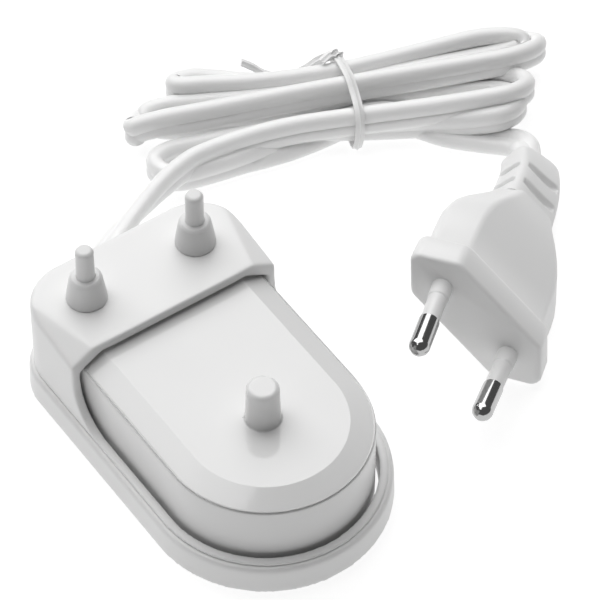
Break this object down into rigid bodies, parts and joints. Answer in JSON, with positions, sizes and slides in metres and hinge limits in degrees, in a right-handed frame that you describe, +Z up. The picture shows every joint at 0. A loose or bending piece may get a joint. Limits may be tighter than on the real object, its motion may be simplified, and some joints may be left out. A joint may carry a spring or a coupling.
{
  "type": "electric toothbrush charger",
  "caption": "Low white inductive toothbrush charger seated in a brush-head holder with pegs, its flat mains cord folded into a tied hank with a flat two-pin plug.",
  "frame": {"origin": "middle of the holder's footprint, on the surface it stands on", "axes": "+Z up, the round front of the charger towards -Y, the cord leaves towards +Y"},
  "size_m": [0.1309, 0.1185, 0.0365],
  "materials": {
    "charger_gloss": "high gloss white",
    "charger_satin": "satin white",
    "holder_satin": "satin white, fine spark texture",
    "post_satin": "satin white",
    "plug_vinyl": "satin white soft vinyl",
    "cord_vinyl": "satin white soft vinyl",
    "tie_vinyl": "white coated twist tie",
    "sleeve_plastic": "satin white",
    "pin_metal": "polished nickel plate",
    "ferrite": "matt sintered ferrite",
    "bobbin_plastic": "matt black",
    "enamelled_copper": "enamelled copper wire",
    "board_laminate": "bare paper laminate",
    "capacitor_can": "sleeved can",
    "film_case": "cast case",
    "black_epoxy": "moulded epoxy",
    "resistor_body": "lacquered ceramic",
    "wire_insulation": "soft insulation"
  },
  "bodies": {
    "charger": {"charger_top_cover": "charger_gloss", "charger_housing": "charger_satin", "charger_bottom_plate": "charger_satin", "ferrite_core": "ferrite", "coil_bobbin": "bobbin_plastic", "coil_winding": "enamelled_copper", "circuit_board": "board_laminate", "smoothing_capacitor": "capacitor_can", "film_capacitor": "film_case", "bridge_rectifier": "black_epoxy", "switching_transistor": "black_epoxy", "fusible_resistor": "resistor_body", "lead_wires": "wire_insulation", "cord_grommet": "cord_vinyl", "cord_lead": "cord_vinyl", "cord_tail": "cord_vinyl", "cord_hank": "cord_vinyl", "cord_tie": "tie_vinyl", "plug_body": "plug_vinyl", "plug_insert": "bobbin_plastic", "plug_strain_relief": "plug_vinyl", "plug_pin_left": "pin_metal", "plug_pin_right": "pin_metal", "plug_sleeve_left": "sleeve_plastic", "plug_sleeve_right": "sleeve_plastic"},
    "holder": {"holder_frame": "holder_satin", "holder_base": "holder_satin", "head_post_left": "post_satin", "head_post_right": "post_satin"}
  },
  "joints": [
    {"name": "holder_lift", "type": "slide", "parent": "charger", "child": "holder", "axis": [0, 0, 1], "range_m": [0, 0.04]}
  ]
}
